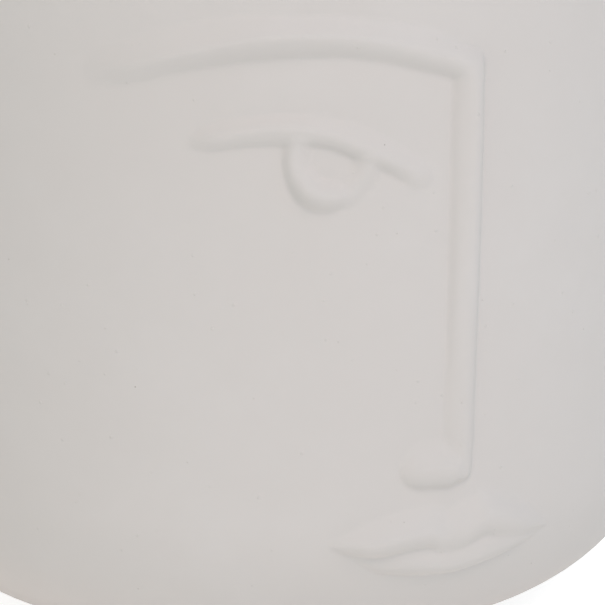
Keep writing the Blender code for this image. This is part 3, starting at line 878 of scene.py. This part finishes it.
def moulded_rubber():
    material, nodes, links = new_material("moulded_rubber")
    shader = nodes["Principled BSDF"]
    bloom = object_space(nodes, links, "ShaderNodeTexNoise", Scale=260.0, Detail=5.0,
                         Roughness=0.65)
    blasted = object_space(nodes, links, "ShaderNodeTexNoise", Scale=5200.0, Detail=2.0)
    share = ranged(nodes, links, bloom.outputs["Fac"], 0.42, 0.75, 0.0, 0.75)
    links.new(mixed_colour(nodes, links, share, RUBBER, RUBBER_BLOOM), shader.inputs["Base Color"])
    links.new(ranged(nodes, links, bloom.outputs["Fac"], 0.3, 0.7, 0.58, 0.78),
              shader.inputs["Roughness"])
    links.new(bumped(nodes, links, blasted.outputs["Fac"], 0.03 * MM, 0.5), shader.inputs["Normal"])
    return material


plug.data.materials.append(moulded_rubber())
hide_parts("drain_plug")
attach(plug, "plug")
print("rubber_plug rides on the plug")

# %% [markdown]
# ## The net
#
# The net is a disc of thin round strands in a thicker rim, moulded in one from black plastic. The
# strands that run across lie a little lower than the ones that run front to back, as they do on
# moulded mesh. Bars in two directions and a turned rim, remeshed as one, also fill the corners of
# the square holes the way flowing plastic does.

# %% Net
NET_GRID = 0.27 * MM
NET_PITCH = 4.0 * MM
STRAND = 1.2 * MM
STRAND_OFFSET = 0.06 * MM
NET_RIM_WIDTH = 2.4 * MM
NET_RIM_ROUND = 0.8 * MM
NET_RIM_EDGE = 0.5 * MM


def add_net_rim(bm):
    outer, inner, low, high = net_high.x, net_high.x - NET_RIM_WIDTH, net_low.z, net_high.z
    wide, narrow = NET_RIM_ROUND, NET_RIM_EDGE
    section = arc(outer - narrow, low + narrow, narrow, -90, 0, 4)
    section += arc(outer - wide, high - wide, wide, 0, 90, 5)
    section += arc(inner + wide, high - wide, wide, 90, 180, 5)
    section += arc(inner + narrow, low + narrow, narrow, 180, 270, 4)
    add_turned(bm, section, 128, closed=True)


def make_net():
    bm = bmesh.new()
    add_net_rim(bm)
    reach = net_high.x - NET_RIM_WIDTH / 2
    middle_z = (net_low.z + net_high.z) / 2
    count = int(reach / NET_PITCH)
    for index in range(-count, count + 1):
        place = index * NET_PITCH
        length = 2 * (reach**2 - place**2) ** 0.5
        add_bar(bm, (0.0, place, middle_z - STRAND_OFFSET), length, STRAND / 2, "x")
        add_bar(bm, (place, 0.0, middle_z + STRAND_OFFSET), length, STRAND / 2, "y")
    return moulded(piece_from(bm, "drain_net"), NET_GRID, 3)


net = make_net()
print(f"drain_net has {len(net.data.polygons)} faces")

# %% [markdown]
# The plastic is a little glossier than the rubber, with faint cloudy patches where it flowed
# together in the mould, and dust that dulls it here and there.

# %% Plastic
PLASTIC = (0.024, 0.024, 0.026)
PLASTIC_DULL = (0.060, 0.058, 0.055)


def moulded_plastic():
    material, nodes, links = new_material("moulded_plastic")
    shader = nodes["Principled BSDF"]
    flow = object_space(nodes, links, "ShaderNodeTexNoise", Scale=120.0, Detail=3.0, Distortion=1.2)
    grain = object_space(nodes, links, "ShaderNodeTexNoise", Scale=3600.0, Detail=2.0)
    share = ranged(nodes, links, flow.outputs["Fac"], 0.45, 0.75, 0.0, 0.8)
    links.new(mixed_colour(nodes, links, share, PLASTIC, PLASTIC_DULL), shader.inputs["Base Color"])
    links.new(ranged(nodes, links, flow.outputs["Fac"], 0.3, 0.7, 0.36, 0.55),
              shader.inputs["Roughness"])
    links.new(bumped(nodes, links, grain.outputs["Fac"], 0.02 * MM, 0.4), shader.inputs["Normal"])
    return material


net.data.materials.append(moulded_plastic())
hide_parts("drain_screen")
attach(net, "screen")
print("drain_net rides on the screen")

# %% [markdown]
# ## The felt pads
#
# The pads are punched from a sheet of pressed grey felt with a thin sticky film on its back. A
# punched edge is never quite true: fibres come loose and the round pulls in and out by a few
# tenths of a millimetre. Each pad is a fine disc whose edge is pushed in by noise, and a
# material with matted fibres does the rest.

# %% Felt pads
PAD_STEPS = 90
PAD_ROUNDING = 0.45 * MM
FILM_THICKNESS = 0.12 * MM
FILM_INSET = 0.25 * MM
FRAY = 0.22 * MM
FRAYED_FROM = 0.75


def pad_section(radius, height):
    """Rings of a pad, from the middle of its underside to the middle of its top."""
    flat = [(radius * t, 0.0) for t in (0.0, 0.25, 0.5, 0.7, 0.84)]
    side = [(radius, z) for z in np.linspace(PAD_ROUNDING, height - FILM_THICKNESS, 6)]
    film = [(radius - FILM_INSET, height - FILM_THICKNESS), (radius - FILM_INSET, height),
            (radius * 0.5, height), (0.0, height)]
    return flat + arc(radius - PAD_ROUNDING, PAD_ROUNDING, PAD_ROUNDING, -90, -15, 4) + side + film


def make_pad(index):
    low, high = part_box(f"foot_pad_{index}")
    middle, radius = (low + high) / 2, (high.x - low.x) / 2
    bm = bmesh.new()
    corners = add_turned(bm, pad_section(radius, high.z - low.z), PAD_STEPS)
    for corner in corners:
        if corner.co.xy.length > radius * FRAYED_FROM:
            place = corner.co / MM + Vector((0, 0, 10.0 * index))
            pulled = 0.5 + 0.5 * noise.noise(place * 0.9) + 0.35 * noise.noise(place * 3.1)
            corner.co.xy *= 1 - FRAY * min(max(pulled, 0.0), 1.0) / radius
    bmesh.ops.translate(bm, verts=corners, vec=(middle.x, middle.y, low.z))
    return piece_from(bm, f"felt_pad_{index}")


pads = [make_pad(index) for index in (1, 2, 3, 4)]
print(f"{len(pads)} felt pads of {len(pads[0].data.polygons)} faces")

# %% Felt
FELT = (0.160, 0.150, 0.140)
FELT_DARK = (0.075, 0.070, 0.066)
FELT_LIGHT = (0.30, 0.285, 0.27)


def pressed_felt():
    material, nodes, links = new_material("pressed_felt")
    shader = nodes["Principled BSDF"]
    matted = object_space(nodes, links, "ShaderNodeTexNoise", Scale=900.0, Detail=6.0,
                          Roughness=0.75, Distortion=2.5)
    fibres = object_space(nodes, links, "ShaderNodeTexNoise", Scale=2600.0, Detail=4.0,
                          Roughness=0.7, Distortion=4.0)
    dark = ranged(nodes, links, matted.outputs["Fac"], 0.35, 0.62, 1.0, 0.0)
    pale = ranged(nodes, links, fibres.outputs["Fac"], 0.56, 0.68, 0.0, 0.9)
    tone = mixed_colour(nodes, links, dark, FELT, FELT_DARK)
    links.new(mixed_colour(nodes, links, pale, tone, FELT_LIGHT), shader.inputs["Base Color"])
    normal = bumped(nodes, links, matted.outputs["Fac"], 0.25 * MM, 0.7)
    links.new(bumped(nodes, links, fibres.outputs["Fac"], 0.08 * MM, 0.7, under=normal),
              shader.inputs["Normal"])
    shader.inputs["Roughness"].default_value = 0.95
    shader.inputs["Specular IOR Level"].default_value = 0.2
    shader.inputs["Sheen Weight"].default_value = 0.3
    return material


felt = pressed_felt()
for index, pad in enumerate(pads, start=1):
    pad.data.materials.append(felt)
    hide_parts(f"foot_pad_{index}")
    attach(pad, "pot")
print("felt on", ", ".join(pad.name for pad in pads))

# %% [markdown]
# ## The table and the light
#
# The table is a wide white plane. A camera ray sees it a little brighter than the light on it
# would make it, so that it runs into the white background without an edge, while the soft shadow
# under the pot stays. Seen from below it is clear, so that the pot's underside shows.
#
# The light is that of a white tent. Most of it comes from all round: a little cool in front and
# plainer behind, and warmer on the left. One large, soft and warm lamp, high on the right and in
# front, gives the raised lines their light and dark sides.

# %% Table
TABLE_HALF = 4.0
TABLE_COLOUR = (0.92, 0.895, 0.86)
TABLE_GLOW = 0.226
TABLE_GLOW_COLOUR = (0.975, 0.967, 1.0)
SEEN_COLOUR = (0.62, 0.614, 0.608)
SEEN_GLOW = 0.74
WHITE = (1.0, 1.0, 1.0)


def seen_directly(nodes, links):
    """1 where a ray comes from the camera, a mirror or through glass, and 0 for other light."""
    path = nodes.new("ShaderNodeLightPath")
    total = path.outputs["Is Camera Ray"]
    for name in ("Is Glossy Ray", "Is Transmission Ray"):
        total = combined(nodes, links, "MAXIMUM", total, path.outputs[name])
    return total


def glowing_matte(nodes, links, colour, glow, glow_colour):
    """A matte surface that also gives off a little light of its own."""
    matte = nodes.new("ShaderNodeBsdfDiffuse")
    matte.inputs["Color"].default_value = (*colour, 1.0)
    light = nodes.new("ShaderNodeEmission")
    light.inputs["Color"].default_value = (*glow_colour, 1.0)
    light.inputs["Strength"].default_value = glow
    both = nodes.new("ShaderNodeAddShader")
    links.new(matte.outputs[0], both.inputs[0])
    links.new(light.outputs[0], both.inputs[1])
    return both.outputs[0]


def chosen(nodes, links, choice, first, second):
    """The first surface where the choice is 0, and the second where it is 1."""
    mix = nodes.new("ShaderNodeMixShader")
    for socket, source in zip(mix.inputs, (choice, first, second)):
        links.new(source, socket)
    return mix.outputs[0]


def table_material():
    material, nodes, links = new_material("white_table")
    nodes.remove(nodes["Principled BSDF"])
    table_light = glowing_matte(nodes, links, TABLE_COLOUR, TABLE_GLOW, TABLE_GLOW_COLOUR)
    seen = glowing_matte(nodes, links, SEEN_COLOUR, SEEN_GLOW, WHITE)
    top = chosen(nodes, links, seen_directly(nodes, links), table_light, seen)
    underneath = nodes.new("ShaderNodeNewGeometry").outputs["Backfacing"]
    clear = nodes.new("ShaderNodeBsdfTransparent").outputs[0]
    surface = chosen(nodes, links, underneath, top, clear)
    links.new(surface, nodes["Material Output"].inputs["Surface"])
    return material


def make_table():
    mesh = bpy.data.meshes.new("table")
    half = TABLE_HALF
    mesh.from_pydata([(-half, -half, 0), (half, -half, 0), (half, half, 0), (-half, half, 0)], [],
                     [(0, 1, 2, 3)])
    mesh.materials.append(table_material())
    table = bpy.data.objects.new("table", mesh)
    bpy.context.scene.collection.objects.link(table)


make_table()
print(f"table {2 * TABLE_HALF:.0f} m wide")

# %% White surroundings
FRONT_LIGHT = (0.441, 0.601, 0.674)
BACK_LIGHT = (0.541, 0.601, 0.634)
LEFT_TINT = (1.379, 1.040, 0.853)
RIGHT_TINT = (0.943, 0.963, 1.000)


def make_surroundings():
    """Light from all round, blended from front to back and tinted to the left and right."""
    world = bpy.data.worlds.new("white_tent")
    bpy.context.scene.world = world
    world.use_nodes = True
    nodes, links = world.node_tree.nodes, world.node_tree.links
    where = nodes.new("ShaderNodeTexCoord")
    split = nodes.new("ShaderNodeSeparateXYZ")
    links.new(where.outputs["Generated"], split.inputs[0])
    behind = ranged(nodes, links, split.outputs["Y"], -0.5, 0.7, 0.0, 1.0)
    tone = mixed_colour(nodes, links, behind, FRONT_LIGHT, BACK_LIGHT)
    for edge, tint in ((-0.9, LEFT_TINT), (0.9, RIGHT_TINT)):
        side = ranged(nodes, links, split.outputs["X"], 0.0, edge, 0.0, 1.0)
        tone = mixed_colour(nodes, links, side, tone, tint, blend="MULTIPLY")
    tone = mixed_colour(nodes, links, seen_directly(nodes, links), tone, WHITE)
    links.new(tone, nodes["Background"].inputs["Color"])


make_surroundings()
print("surroundings:", FRONT_LIGHT, "in front,", BACK_LIGHT, "behind")

# %% Key lamp
KEY_TURN = radians(22)
KEY_RISE = radians(48)
KEY_DISTANCE = 3.0
KEY_AIM = Vector((0, 0, 0.1))
KEY_SIZE = 1.8
KEY_POWER = 41.6
KEY_COLOUR = (1.0, 0.779, 0.719)


def make_key_lamp():
    lamp = bpy.data.objects.new("key_lamp", bpy.data.lights.new("key_lamp", "AREA"))
    bpy.context.scene.collection.objects.link(lamp)
    lamp.data.shape = "DISK"
    lamp.data.size = KEY_SIZE
    lamp.data.energy = KEY_POWER
    lamp.data.color = KEY_COLOUR
    level = cos(KEY_RISE)
    towards = Vector((sin(KEY_TURN) * level, -cos(KEY_TURN) * level, sin(KEY_RISE)))
    lamp.location = KEY_AIM + towards * KEY_DISTANCE
    lamp.rotation_euler = towards.to_track_quat("Z", "Y").to_euler()
    return lamp


key_lamp = make_key_lamp()
bpy.context.scene.view_settings.view_transform = "Standard"
print("key lamp at", tuple(round(c, 2) for c in key_lamp.location), "m")
